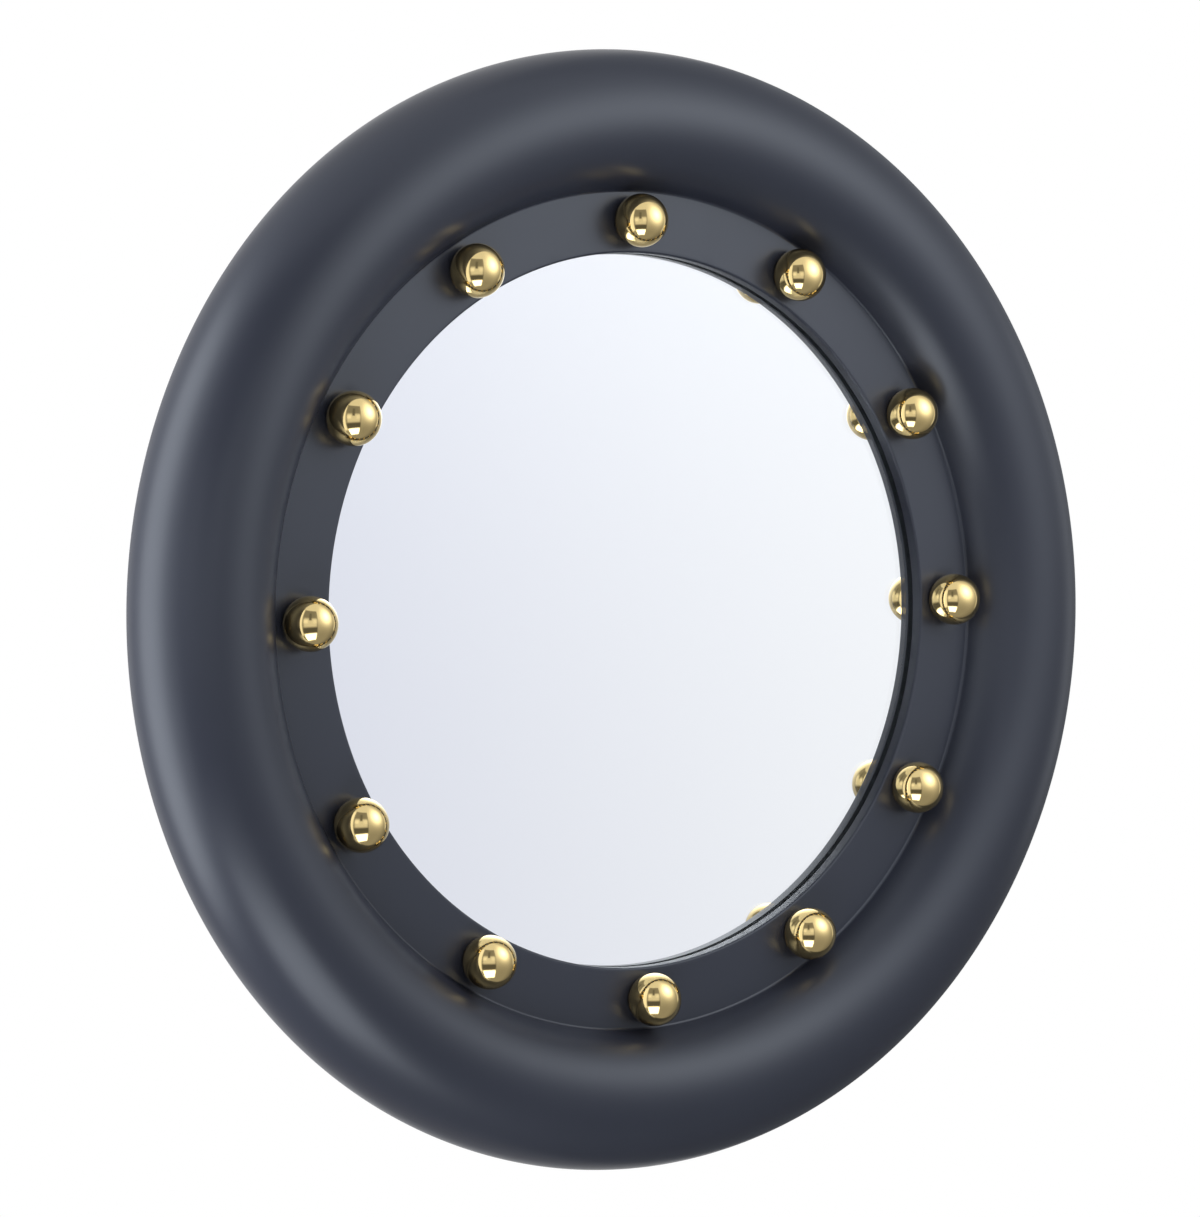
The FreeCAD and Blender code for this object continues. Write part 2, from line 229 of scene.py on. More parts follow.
def arc(centre, radius, start, end, steps):
    """Points of a section on a circle: centre plus radius times (cos, sin), start to end in degrees."""
    angle = np.radians(np.linspace(start, end, steps + 1))
    return np.stack([centre[0] + radius * np.cos(angle), centre[1] + radius * np.sin(angle)], axis=-1)


def line(start, end, steps=1):
    """Points of a section on a straight run, both ends included."""
    share = np.linspace(0, 1, steps + 1)[:, None]
    return np.asarray(start) * (1 - share) + np.asarray(end) * share


def full_turn(columns):
    """Angles of a full turn in equal steps, without its end."""
    return np.arange(columns) * (2 * math.pi / columns)


def quarter_turn(steps):
    """Angles of a quarter turn in equal steps, both ends included."""
    return np.radians(np.linspace(0, 90, steps + 1))


def turned(section, columns=columns_round, finish=0):
    """A section of (radius, height) points carried once round the mirror's axis."""
    return patch(on_axis(section[:, :1], section[:, 1:], full_turn(columns)[None, :]), True, finish)


def between(outer, inner, rows, finish=0):
    """Rows that go in equal steps from one closed loop of points to another."""
    share = np.linspace(0, 1, rows + 1)[:, None, None]
    return patch(outer[None] * (1 - share) + inner[None] * share, True, finish)


def filled(loop, centre, rows=2, finish=0):
    """A flat cap: the loop shrunk in equal steps to one point."""
    return between(loop, np.broadcast_to(centre, loop.shape), rows, finish)


def sector_loop(inner, outer, height, first, last, steps):
    """The outline of a piece of a flat annulus: inner arc, a radius, outer arc back, a radius back."""
    along = np.arange(first, last) * column_angle
    back = np.arange(last, first, -1) * column_angle
    out = np.linspace(inner, outer, steps + 1)
    return np.concatenate([
        on_axis(inner, height, along),
        on_axis(out[:-1], height, last * column_angle),
        on_axis(outer, height, back),
        on_axis(out[:0:-1], height, first * column_angle),
    ])


def quads_of(rows, columns, closed):
    """The four corners of each cell between neighbouring rows and columns of a grid."""
    row = np.arange(rows - 1)[:, None] * columns
    column = np.arange(columns if closed else columns - 1)[None, :]
    following = (column + 1) % columns
    corners = [row + column, row + following, row + columns + following, row + columns + column]
    return np.stack(np.broadcast_arrays(*corners), axis=-1).reshape(-1, 4)


def piece(name, patches, finishes, body="mirror", replaced=(), sharp=smooth_limit):
    """One object of welded patches, faces outwards, smooth but for edges sharper than an angle."""
    quads, vertices, finish = [], [], []
    count = 0
    for grid in patches:
        rows, columns, _ = grid.points.shape
        cells = quads_of(rows, columns, grid.closed)
        quads.append(cells + count)
        finish.append(np.full(len(cells), grid.finish))
        vertices.append(grid.points.reshape(-1, 3))
        count += rows * columns
    quads, vertices, finish = map(np.concatenate, (quads, vertices, finish))
    mesh = bpy.data.meshes.new(name)
    mesh.vertices.add(count)
    mesh.vertices.foreach_set("co", vertices.astype(np.float32).ravel())
    mesh.loops.add(quads.size)
    mesh.loops.foreach_set("vertex_index", quads.astype(np.int32).ravel())
    mesh.polygons.add(len(quads))
    mesh.polygons.foreach_set("loop_start", np.arange(0, quads.size, 4, dtype=np.int32))
    mesh.polygons.foreach_set("material_index", finish.astype(np.int32))
    mesh.update(calc_edges=True)
    shell = bmesh.new()
    shell.from_mesh(mesh)
    bmesh.ops.remove_doubles(shell, verts=shell.verts, dist=weld_distance)
    bmesh.ops.recalc_face_normals(shell, faces=shell.faces)
    shell.to_mesh(mesh)
    shell.free()
    mesh.shade_smooth()
    mesh.set_sharp_from_angle(angle=math.radians(sharp))
    for material in finishes:
        mesh.materials.append(material)
    made = bpy.data.objects.new(name, mesh)
    bpy.context.scene.collection.objects.link(made)
    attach(made, body)
    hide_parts(*replaced)
    return made


class Value:
    """A socket of a shader: arithmetic on it adds Math nodes to its tree."""

    def __init__(self, tree, socket):
        self.tree = tree
        self.socket = socket

    def __add__(self, other):
        return self.tree.math("ADD", self, other)

    def __sub__(self, other):
        return self.tree.math("SUBTRACT", self, other)

    def __rsub__(self, other):
        return self.tree.math("SUBTRACT", other, self)

    def __mul__(self, other):
        return self.tree.math("MULTIPLY", self, other)

    def __abs__(self):
        return self.tree.math("ABSOLUTE", self)

    __radd__ = __add__
    __rmul__ = __mul__


class Shader:
    """The nodes of one material or of the world."""

    def __init__(self, owner):
        owner.use_nodes = True
        self.nodes = owner.node_tree.nodes
        self.links = owner.node_tree.links
        self.nodes.clear()

    def add(self, kind, settings=None, **sockets):
        """Adds a node: its settings first, then values or links by socket name, with _ for a space."""
        node = self.nodes.new("ShaderNode" + kind)
        for key, value in (settings or {}).items():
            setattr(node, key, value)
        for key, value in sockets.items():
            self.feed(self.socket(node.inputs, key), value)
        return node

    def socket(self, sockets, key):
        """The first socket in use with that name, or the one with that number after an underscore."""
        name = key.replace("_", " ")
        if name.strip().isdigit():
            return sockets[int(name)]
        return next(s for s in sockets if s.name == name and s.enabled)

    def feed(self, socket, value):
        """Links a value to a socket, or sets a plain number, colour or vector on it."""
        if isinstance(value, Value):
            self.links.new(value.socket, socket)
        else:
            socket.default_value = value

    def out(self, node, name=None):
        """A node's output by name, or its first."""
        return Value(self, self.socket(node.outputs, name) if name else node.outputs[0])

    def math(self, operation, *values):
        """A Math node on values and numbers."""
        node = self.add("Math", {"operation": operation})
        for socket, value in zip(node.inputs, values):
            self.feed(socket, value)
        return self.out(node)

    def step(self, value, low, high):
        """A smooth step: 0 below low, 1 above high."""
        ranged = self.add(
            "MapRange", {"interpolation_type": "SMOOTHSTEP"}, Value=value, From_Min=low, From_Max=high)
        return self.out(ranged)

    def mixed(self, share, first, second):
        """A colour between two others."""
        node = self.add("Mix", {"data_type": "RGBA"}, _0=share, _6=first, _7=second)
        return self.out(node, "_2")

    def noise(self, place, scale, detail=2.0, roughness=0.5):
        """Soft noise from 0 to 1, with about scale waves to the metre."""
        node = self.add("TexNoise", Vector=place, Scale=scale, Detail=detail, Roughness=roughness)
        return self.out(node)

    def stretched(self, place, scale):
        """The place with each axis scaled, for grain that runs one way."""
        return self.out(self.add("Mapping", Vector=place, Scale=scale))

    def bearings(self, direction):
        """The azimuth from -Y towards +X and the elevation of a direction, in degrees."""
        unit = self.out(self.add("VectorMath", {"operation": "NORMALIZE"}, Vector=direction))
        parts = self.add("SeparateXYZ", Vector=unit)
        x, y, z = (self.out(parts, axis) for axis in "XYZ")
        degree = math.radians(1)
        return self.math("ARCTAN2", x, 0 - y) * (1 / degree), self.math("ARCSINE", z) * (1 / degree)

    def bump(self, height, distance):
        """A normal for a relief of that height times a distance."""
        return self.out(self.add("Bump", Height=height, Distance=distance, Strength=1.0))


def colour(red, green, blue):
    """An opaque colour in linear light."""
    return (red, green, blue, 1.0)


def new_finish(name):
    """A material's shader with its place on the object."""
    material = bpy.data.materials.new(name)
    shader = Shader(material)
    place = shader.out(shader.add("TexCoord"), "Object")
    return material, shader, place


def close_finish(shader, **sockets):
    """Ends a material in one Principled surface."""
    surface = shader.add("BsdfPrincipled", **sockets)
    shader.add("OutputMaterial", Surface=shader.out(surface))


def satin_lacquer():
    """Sprayed dark blue-grey lacquer: slow colour drift, fine orange peel and an uneven satin."""
    material, shader, place = new_finish("satin_lacquer")
    drift = shader.noise(place, 5.0, 3.0)
    peel = shader.noise(place, 700.0, 2.0)
    ripple = shader.noise(place, 90.0, 2.0)
    rubbed = shader.noise(place, 24.0, 5.0, 0.6)
    paint = shader.mixed(
        shader.step(drift, 0.3, 0.7), colour(0.0220, 0.0245, 0.0375), colour(0.0250, 0.0275, 0.0415))
    close_finish(
        shader, Base_Color=paint, Roughness=0.345 + 0.06 * (rubbed - 0.5), IOR=1.53,
        Specular_Tint=colour(0.90, 0.94, 1.0), Normal=shader.bump(peel + 1.5 * ripple, 0.012 * MM))
    return material


def sealed_back():
    """The frame's back: fibreboard under one thin dark coat, with its fibres raised."""
    material, shader, place = new_finish("sealed_back")
    fibre = shader.noise(place, 420.0, 6.0, 0.65)
    cloud = shader.noise(place, 14.0, 4.0)
    thin = shader.step(fibre + 0.5 * (cloud - 0.5), 0.52, 0.72)
    paint = shader.mixed(thin, colour(0.018, 0.019, 0.022), colour(0.05, 0.043, 0.037))
    close_finish(
        shader, Base_Color=paint, Roughness=0.62 + 0.2 * (fibre - 0.5), IOR=1.48,
        Normal=shader.bump(fibre, 0.06 * MM))
    return material


def primer_with_painted_light():
    """Sanded primer with thin overspray in the rebate that only the glass's edge shows, its grey painted
    lighter as light that reaches the rebate through the glass.
    """
    material, shader, place = new_finish("primer_with_painted_light")
    mist = shader.noise(place, 900.0, 4.0, 0.6)
    cloud = shader.noise(place, 26.0, 3.0)
    # Painted light: the grey is lighter than the primer itself, standing in for light the rebate gets
    # through the glass and silvering.
    grey_with_painted_light = shader.mixed(
        shader.step(0.5 * mist + 0.5 * cloud, 0.35, 0.65),
        colour(0.085, 0.095, 0.105), colour(0.12, 0.13, 0.14))
    close_finish(
        shader, Base_Color=grey_with_painted_light, Roughness=0.7 + 0.2 * (mist - 0.5), Normal=shader.bump(mist, 0.02 * MM))
    return material


def routed_fibreboard():
    """Bare fibreboard inside the routed pockets: tan felted fibres with darker flecks."""
    material, shader, place = new_finish("routed_fibreboard")
    fibre = shader.noise(shader.stretched(place, (1.0, 3.0, 1.0)), 600.0, 6.0, 0.7)
    cloud = shader.noise(place, 30.0, 3.0)
    fleck = shader.step(shader.noise(place, 1500.0, 2.0), 0.62, 0.7)
    felt = shader.mixed(
        shader.step(0.6 * fibre + 0.4 * cloud, 0.35, 0.65),
        colour(0.23, 0.145, 0.08), colour(0.36, 0.25, 0.15))
    flecked = shader.mixed(0.5 * fleck, felt, colour(0.12, 0.07, 0.035))
    close_finish(
        shader, Base_Color=flecked, Roughness=0.85 - 0.15 * fibre, IOR=1.45,
        Normal=shader.bump(fibre, 0.12 * MM))
    return material


def polished_brass():
    """Turned and buffed brass: faint tone drift, hazy buffing clouds and hairline marks."""
    material, shader, place = new_finish("polished_brass")
    drift = shader.noise(place, 40.0, 2.0)
    haze = shader.noise(place, 160.0, 4.0, 0.6)
    hairline = shader.noise(shader.stretched(place, (1.0, 14.0, 3.0)), 420.0, 3.0)
    metal = shader.mixed(drift, colour(0.885, 0.66, 0.292), colour(0.91, 0.69, 0.318))
    close_finish(
        shader, Base_Color=metal, Metallic=1.0, Roughness=0.055 + 0.05 * haze,
        Normal=shader.bump(hairline, 0.002 * MM))
    return material


def clear_glass():
    """Float glass, hardly tinted."""
    material, shader, place = new_finish("clear_glass")
    tint = shader.mixed(shader.noise(place, 2.0), colour(0.988, 0.996, 1.0), colour(0.992, 0.998, 1.0))
    close_finish(shader, Base_Color=tint, Roughness=0.0, IOR=1.5, Transmission_Weight=1.0)
    return material


def silvering():
    """Silver on the back of the glass, a little cool, with the slightest unevenness."""
    material, shader, place = new_finish("silvering")
    cloud = shader.noise(place, 3.0, 2.0)
    silver = shader.mixed(cloud, colour(0.97, 0.985, 0.998), colour(0.975, 0.99, 1.0))
    close_finish(shader, Base_Color=silver, Metallic=1.0, Roughness=0.0)
    return material


def smooth_hardboard():
    """The pressed face of hardboard: brown, mottled, with short fibres and a faint sheen."""
    material, shader, place = new_finish("smooth_hardboard")
    mottle = shader.noise(place, 9.0, 3.0, 0.5)
    fibre = shader.noise(shader.stretched(place, (1.0, 1.0, 0.25)), 520.0, 5.0, 0.65)
    across = shader.noise(shader.stretched(place, (0.3, 1.0, 1.0)), 640.0, 4.0, 0.6)
    fleck = shader.step(shader.noise(place, 260.0, 3.0, 0.7), 0.6, 0.75)
    brown = shader.mixed(
        shader.step(0.2 * mottle + 0.45 * fibre + 0.35 * across, 0.36, 0.64),
        colour(0.135, 0.072, 0.034), colour(0.235, 0.138, 0.07))
    flecked = shader.mixed(0.45 * fleck, brown, colour(0.075, 0.038, 0.018))
    close_finish(
        shader, Base_Color=flecked, Roughness=0.5 + 0.18 * (mottle - 0.5), IOR=1.48,
        Normal=shader.bump(fibre + across, 0.03 * MM))
    return material


def zinc_plate():
    """Bright zinc on steel: crystalline patches, a bluish to straw tint and drawn lines."""
    material, shader, place = new_finish("zinc_plate")
    patchy = shader.noise(place, 240.0, 3.0)
    drawn = shader.noise(shader.stretched(place, (6.0, 6.0, 0.6)), 700.0, 3.0)
    tint = shader.mixed(
        shader.step(patchy, 0.35, 0.65), colour(0.58, 0.60, 0.63), colour(0.66, 0.645, 0.60))
    close_finish(
        shader, Base_Color=tint, Metallic=1.0, Roughness=0.26 + 0.16 * (patchy - 0.4),
        Normal=shader.bump(drawn, 0.006 * MM))
    return material


def closed_cell_foam():
    """Dark foam tape with its open-cut cells, their middles painted darker as shade in the pits."""
    material, shader, place = new_finish("closed_cell_foam")
    cells = shader.add("TexVoronoi", Vector=place, Scale=1800.0)
    depth = shader.out(cells, "Distance")
    # Painted shade: the tone darkens towards each cell's middle, as shade in its pit.
    tone = shader.mixed(depth, colour(0.02, 0.02, 0.021), colour(0.06, 0.06, 0.062))
    close_finish(
        shader, Base_Color=tone, Roughness=0.95 - 0.1 * depth, Normal=shader.bump(depth, 0.1 * MM))
    return material


def make_outer_frame(lacquer, back, fibreboard):
    """The half-round frame: its section turned about the axis, and a flat back with two pockets.

    The section is the rabbet, the toe, a small cove, the big round and a rounded back edge. The cove's
    circle rests on the ring's face and touches the big round on the axis's side. The back edge's circle
    lies inside the big round and touches it and the wall.
    """
    round_centre = np.array([outer_radius - round_radius, frame_height - round_radius])
    cove_height = ring_face_height + toe_cove_radius
    reach = round_radius + toe_cove_radius
    rise = cove_height - round_centre[1]
    cove_centre = np.array([round_centre[0] - math.sqrt(reach ** 2 - rise ** 2), cove_height])
    toe_angle = math.degrees(math.asin((toe_edge_height - toe_cove_radius) / toe_cove_radius))
    meet_angle = math.degrees(math.atan2(-rise, round_centre[0] - cove_centre[0]))
    cove = arc(cove_centre, toe_cove_radius, toe_angle, meet_angle, cove_steps)
    edge = frame_back_edge_round
    drop = edge - round_centre[1]
    edge_radius = round_centre[0] + math.sqrt((round_radius - edge) ** 2 - drop ** 2)
    edge_angle = math.degrees(math.atan2(drop, edge_radius - round_centre[0]))
    rabbet_radius = ring_outer_radius + rabbet_clearance
    front = np.concatenate([
        line((rabbet_radius, ring_face_height), (cove[0, 0], ring_face_height), steps=3),
        cove,
        arc(round_centre, round_radius, 180 + meet_angle, edge_angle, big_round_steps)[1:],
        arc((edge_radius, edge), edge, edge_angle, -90, back_edge_steps)[1:],
    ])
    flat_inner = rabbet_radius + edge
    inside = np.concatenate([
        arc((flat_inner, edge), edge, -90, -180, inside_edge_steps),
        line((rabbet_radius, edge), (rabbet_radius, ring_face_height), steps=2)[1:],
    ])
    patches = [turned(front), turned(inside, finish=1)]
    radii = np.linspace(flat_inner, edge_radius, flat_back_rows + 1)[:, None]
    half = pocket_half_columns
    start, end = pocket_middle_column, columns_round - pocket_middle_column
    for first, last in ((start + half, end - half), (end + half, columns_round + start - half)):
        angle = np.arange(first, last + 1) * column_angle
        patches.append(patch(on_axis(radii, 0.0, angle[None]), closed=False, finish=1))
    for side, middle in ((1, start), (-1, end)):
        loop = sector_loop(flat_inner, edge_radius, 0.0, middle - half, middle + half, flat_back_rows)
        patches += pocket(side, loop)
    return piece("half_round_frame", patches, [lacquer, back, fibreboard],
                 replaced=["outer_frame"])


def pocket(side, loop):
    """A pocket with round ends in the flat back: the face round it, its lip, walls and floor.

    Each point of the loop goes straight to the pocket's middle and stops at the outline, which is
    two half circles joined by straight sides.
    """
    pivot = pivots["right_ring"]
    half_straight = (pocket_above_pivot + pocket_below_pivot) / 2 - pocket_half_width
    middle = np.array([side * pivot.x, 0.0, pivot.z + (pocket_above_pivot - pocket_below_pivot) / 2])
    direction = loop - middle
    direction /= np.linalg.norm(direction, axis=1)[:, None]
    across, up = np.abs(direction[:, 0]), np.abs(direction[:, 2])

    def outline(half_width, height):
        """Where each ray from the middle meets a straight side, or else the circle of an end."""
        to_side = half_width / np.maximum(across, nearly_nothing)
        along = half_straight * up
        to_end = along + np.sqrt(along ** 2 + half_width ** 2 - half_straight ** 2)
        distance = np.where(to_side * up <= half_straight, to_side, to_end)
        return middle + direction * distance[:, None] - height * into_wall

    lip = [
        outline(pocket_half_width + pocket_edge_round * (1 - math.sin(a)),
                pocket_edge_round * (1 - math.cos(a)))
        for a in quarter_turn(lip_steps)
    ]
    foot = outline(pocket_half_width, pocket_depth)
    floor_middle = middle - pocket_depth * into_wall
    return [
        between(loop, lip[0], rows=5, finish=1),
        patch(np.stack(lip), finish=2),
        between(lip[-1], foot, rows=3, finish=2),
        filled(foot, floor_middle, rows=4, finish=2),
    ]


def make_ball_ring(lacquer, painted_light_primer, back):
    """The flat ring: its edges turned about the axis, and a face with a round seat at each hour."""
    rebate_radius = glass_radius + rebate_clearance
    rebate_height = glass_front_height + rebate_above_glass
    face_inner = sight_radius + sight_edge_round
    edge_centre = (face_inner, ring_face_height - sight_edge_round)
    sight_wall = np.concatenate([
        arc(edge_centre, sight_edge_round, 90, 180, sight_edge_steps),
        line((sight_radius, edge_centre[1]), (sight_radius, rebate_height), steps=3)[1:],
    ])
    rebate = np.concatenate([
        line((sight_radius, rebate_height), (rebate_radius, rebate_height)),
        line((rebate_radius, rebate_height), (rebate_radius, ring_back_height))[1:],
    ])
    hidden = np.concatenate([
        line((rebate_radius, ring_back_height), (ring_outer_radius, ring_back_height), steps=2),
        line((ring_outer_radius, ring_back_height), (ring_outer_radius, ring_face_height))[1:],
    ])
    # The rebate takes the primer whose lighter grey is painted light.
    patches = [turned(sight_wall), turned(rebate, finish=1), turned(hidden, finish=2)]
    centre_above_face = ball_centre_height - ring_face_height
    seat_radius = math.sqrt(ball_radius ** 2 - centre_above_face ** 2) + ball_seat_clearance
    half = columns_per_hour // 2
    for hour in range(hours):
        middle_column = hour * columns_per_hour
        first, last = middle_column - half, middle_column + half
        loop = sector_loop(face_inner, ring_outer_radius, ring_face_height, first, last, seat_sector_steps)
        centre = on_axis(ball_circle_radius, ring_face_height, middle_column * column_angle)
        direction = loop - centre
        direction /= np.linalg.norm(direction, axis=1)[:, None]
        lip = [
            centre + direction * (seat_radius + seat_edge_round * (1 - math.sin(a)))
            + into_wall * seat_edge_round * (1 - math.cos(a))
            for a in quarter_turn(lip_steps)
        ]
        floor_middle = centre + into_wall * (ring_face_height - ball_foot_height)
        foot = floor_middle + direction * seat_radius
        patches += [
            between(loop, lip[0], rows=6),
            patch(np.stack(lip)),
            between(lip[-1], foot, rows=1),
            filled(foot, floor_middle, rows=3),
        ]
    return piece("studded_ring", patches, [lacquer, painted_light_primer, back], replaced=["ball_ring"])


def make_ball(hour, brass):
    """A ball: circles about its own axis from the front pole to the turned foot, and the flat foot."""
    low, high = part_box("brass_ball_%02d" % hour)
    middle = (low + high) / 2
    centre = np.array([middle.x, -ball_centre_height, middle.z])
    foot_angle = math.acos((ball_foot_height - ball_centre_height) / ball_radius)
    down = np.linspace(0, foot_angle, ball_rows + 1)[:, None]
    round_about = full_turn(ball_columns)[None]
    spread = ball_radius * np.sin(down)
    ball = centre + np.stack(np.broadcast_arrays(
        spread * np.cos(round_about), -ball_radius * np.cos(down), spread * np.sin(round_about)), axis=-1)
    foot = filled(ball[-1], np.array([middle.x, -ball_foot_height, middle.z]))
    return piece("ball_%02d" % hour, [patch(ball), foot], [brass],
                 replaced=["brass_ball_%02d" % hour])


def make_silvering(silver):
    """A film across the glass, just inside its back face: two flat discs joined at the rim."""
    front = glass_back_height + silvering_inset + silvering_thickness
    back = glass_back_height + silvering_inset
    radius = glass_radius - silvering_margin
    half = radius / 2
    section = np.array([
        (0.0, front), (half, front), (radius, front), (radius, back), (half, back), (0.0, back)])
    return piece("silver_film", [turned(section, film_columns)], [silver])


def carried(path, normal, across, profile):
    """A profile carried along a path: at each point, profile x along normal and y along across."""
    return (path[:, None] + profile[:, :, 0, None] * normal[:, None]
            + profile[:, :, 1, None] * across[:, None])


def make_d_ring(side, body, node, zinc):
    """Round wire along a closed D: a bar with rounded corners, straight sides and a half-round bow.

    A circle of the wire's radius is carried along the D, in its plane and square to it. The D hangs
    down from the bar and leans away from the strap by a few degrees.
    """
    corner, half = d_ring_corner_radius, d_ring_half_width
    bow_below = d_ring_length - half
    bar_half = half - corner
    d_shape = np.concatenate([
        line((-bar_half, 0), (bar_half, 0), steps=12)[:-1],
        arc((bar_half, -corner), corner, 90, 0, d_corner_steps)[:-1],
        line((half, -corner), (half, -bow_below), steps=3)[:-1],
        arc((0, -bow_below), half, 0, -180, d_bow_steps)[:-1],
        line((-half, -bow_below), (-half, -corner), steps=3)[:-1],
        arc((-bar_half, -corner), corner, 180, 90, d_corner_steps)[:-1],
    ])
    run = np.roll(d_shape, -1, axis=0) - np.roll(d_shape, 1, axis=0)
    run /= np.linalg.norm(run, axis=1)[:, None]
    pivot = np.array(pivots[body])
    down = np.array([0.0, math.sin(d_ring_rest_tilt), -math.cos(d_ring_rest_tilt)])
    path = pivot + d_shape[:, :1] * to_right - d_shape[:, 1:] * down
    normal = run[:, 1:] * to_right + run[:, :1] * down
    across = np.broadcast_to(np.cross(to_right, down), normal.shape)
    turn = full_turn(wire_columns)
    circle = ring_wire_radius * np.stack([np.cos(turn), np.sin(turn)], axis=-1)
    tube = carried(path, normal, across, np.broadcast_to(circle, (len(path), *circle.shape)))
    tube = np.concatenate([tube, tube[:1]])
    return piece("wire_ring_" + side, [patch(tube)], [zinc], body, [node])


def make_strap(side, body, node, zinc):
    """A strip folded over the D-ring's bar: a flat leg, a turn round the bar, a fillet and a second leg.

    A flat profile with rounded edges is carried along the fold, and its width runs out in a half
    circle at both ends.
    """
    pivot = np.array(pivots[body])
    knuckle_height = pocket_depth + pivot[1]
    half = strip_thickness / 2
    turn_radius = knuckle_height - half
    second = strip_thickness + fold_gap + half
    fillet_height = second + fold_fillet_radius
    fillet_below = math.sqrt(
        (turn_radius + fold_fillet_radius) ** 2 - (knuckle_height - fillet_height) ** 2)
    lean = math.degrees(math.atan2(fillet_height - knuckle_height, fillet_below))
    straight_end = strap_end_below_pivot - strap_half_width
    end_run = strap_end_below_pivot - strap_half_width * (1 - np.cos(quarter_turn(strap_end_steps)))
    fold = np.concatenate([
        np.stack([end_run, np.full_like(end_run, half)], axis=-1),
        line((straight_end, half), (0, half), strap_leg_steps)[1:],
        arc((0, knuckle_height), turn_radius, 270, lean, strap_turn_steps)[1:],
        arc((fillet_below, fillet_height), fold_fillet_radius, lean + 180, 270, strap_fillet_steps)[1:],
        line((fillet_below, second), (straight_end, second), strap_leg_steps)[1:],
        np.stack([end_run[::-1], np.full_like(end_run, second)], axis=-1)[1:],
    ])
    run = np.gradient(fold, axis=0)
    run /= np.linalg.norm(run, axis=1)[:, None]
    to_end = np.clip(fold[:, 0] - straight_end, 0, strap_half_width)
    width = np.sqrt(np.maximum(strap_half_width ** 2 - to_end ** 2, 0))
    floor = np.array([pivot[0], -pocket_depth, pivot[2]])
    path = floor - fold[:, :1] * upwards + fold[:, 1:] * into_wall
    normal = run[:, :1] * into_wall + run[:, 1:] * upwards
    right = np.broadcast_to(to_right, normal.shape)
    corner = quarter_turn(lip_steps)
    bend = strip_edge_round
    thick = np.concatenate([half - bend + bend * np.sin(corner), bend - half - bend * np.sin(corner[::-1])])
    inset = np.concatenate([bend * (1 - np.cos(corner)), bend * (1 - np.cos(corner[::-1]))])
    edge = np.maximum(width[:, None] - inset[None], 0)
    thickness = np.concatenate([thick, thick[::-1]])
    across = np.concatenate([edge, -edge[:, ::-1]], axis=1)
    profile = np.stack(np.broadcast_arrays(thickness[None], across), axis=-1)
    strip = carried(path, normal, right, profile)
    return piece("folded_strap_" + side, [patch(strip)], [zinc], replaced=[node])


def pan_screw(x, z, seat_height, size):
    """A pan head screw on the back: a section carried round its axis, with a cross sunk in its head.

    The head is a flattened dome. Inside the cross's arms the dome sinks to the recess's depth, with
    sloping sides. Behind the head come its flat seat, the shank and a point.
    """
    head, height, shank = size.head_radius, size.head_height, size.shank_radius
    share = np.sin(np.linspace(0, math.pi / 2, dome_points))
    dome = np.stack([head * share, height * (1 - share ** dome_flatness) ** (1 / dome_fullness)], axis=-1)
    point_start = -size.length + point_length_in_shanks * shank
    lower = np.array([
        (shank, 0.0), (shank, point_start), (shank * point_end_share, -size.length), (0.0, -size.length)])
    section = np.concatenate([dome, lower])
    turn = full_turn(screw_columns)[None]
    across, along = section[:, :1] * np.cos(turn), section[:, :1] * np.sin(turn)
    arm = cross_arm_share * head
    half_width = cross_half_width_share * head
    slope = cross_slope_share * head
    depth = cross_depth_share * height

    def bar(one, other):
        """1 inside an arm of the cross, falling to 0 over the slope of its sides and ends."""
        short = np.clip((half_width + slope - np.abs(one)) / slope, 0, 1)
        return short * np.clip((arm - np.abs(other)) / slope, 0, 1)

    sunk = np.maximum(bar(across, along), bar(along, across)) * (section[:, 1:] > 0)
    out = section[:, 1:] - depth * sunk
    return patch(np.stack([x + across, out - seat_height, z + along], axis=-1))


def make_screws(zinc):
    """The screws that show on the back: round the backing board and through the hanger straps."""
    angles = (np.arange(hours) + 0.5) * (2 * math.pi / hours)
    board = [
        pan_screw(board_screw_circle_radius * math.sin(a), board_screw_circle_radius * math.cos(a),
                  board_back_height, board_screw)
        for a in angles
    ]
    piece("board_pan_screws", board, [zinc], replaced=["board_screws"],
          sharp=screw_smooth_limit)
    seat_height = pocket_depth - 2 * strip_thickness - fold_gap
    hanger = [
        pan_screw(pivot.x, pivot.z - below, seat_height, hanger_screw)
        for pivot in pivots.values() for below in hanger_screws_below_pivot
    ]
    piece("hanger_pan_screws", hanger, [zinc], replaced=["hanger_screws"],
          sharp=screw_smooth_limit)


def dress(node, finish):
    """A carried-over node takes a finish."""
    mesh = frame["nodes"][node].data
    mesh.materials.clear()
    mesh.materials.append(finish)


def make_backdrop():
    """The world: a plain white backdrop, which the mirror shows a little dimmer away from the light side.

    Glossy finishes show it dimmer low down and high up, as in a room whose floor and ceiling are darker.
    """
    world = bpy.data.worlds.new("backdrop")
    bpy.context.scene.world = world
    shader = Shader(world)
    azimuth, elevation = shader.bearings(shader.out(shader.add("TexCoord"), "Generated"))
    path = shader.add("LightPath")
    dim = shader.out(path, "Is_Transmission_Ray") * (1 - shader.step(azimuth, *mirror_dim_azimuths))
    white = shader.mixed(dim, colour(1.0, 1.0, 1.0), colour(*mirror_dim_tone))
    low = backdrop_low_loss * shader.step(0 - elevation, *backdrop_low_elevations)
    high = backdrop_high_loss * shader.step(elevation, *backdrop_high_elevations)
    room = shader.mixed(shader.out(path, "Is_Glossy_Ray") * (low + high), white, colour(0.0, 0.0, 0.0))
    shader.add("OutputWorld", Surface=shader.out(shader.add("Background", Color=room, Strength=1.0)))


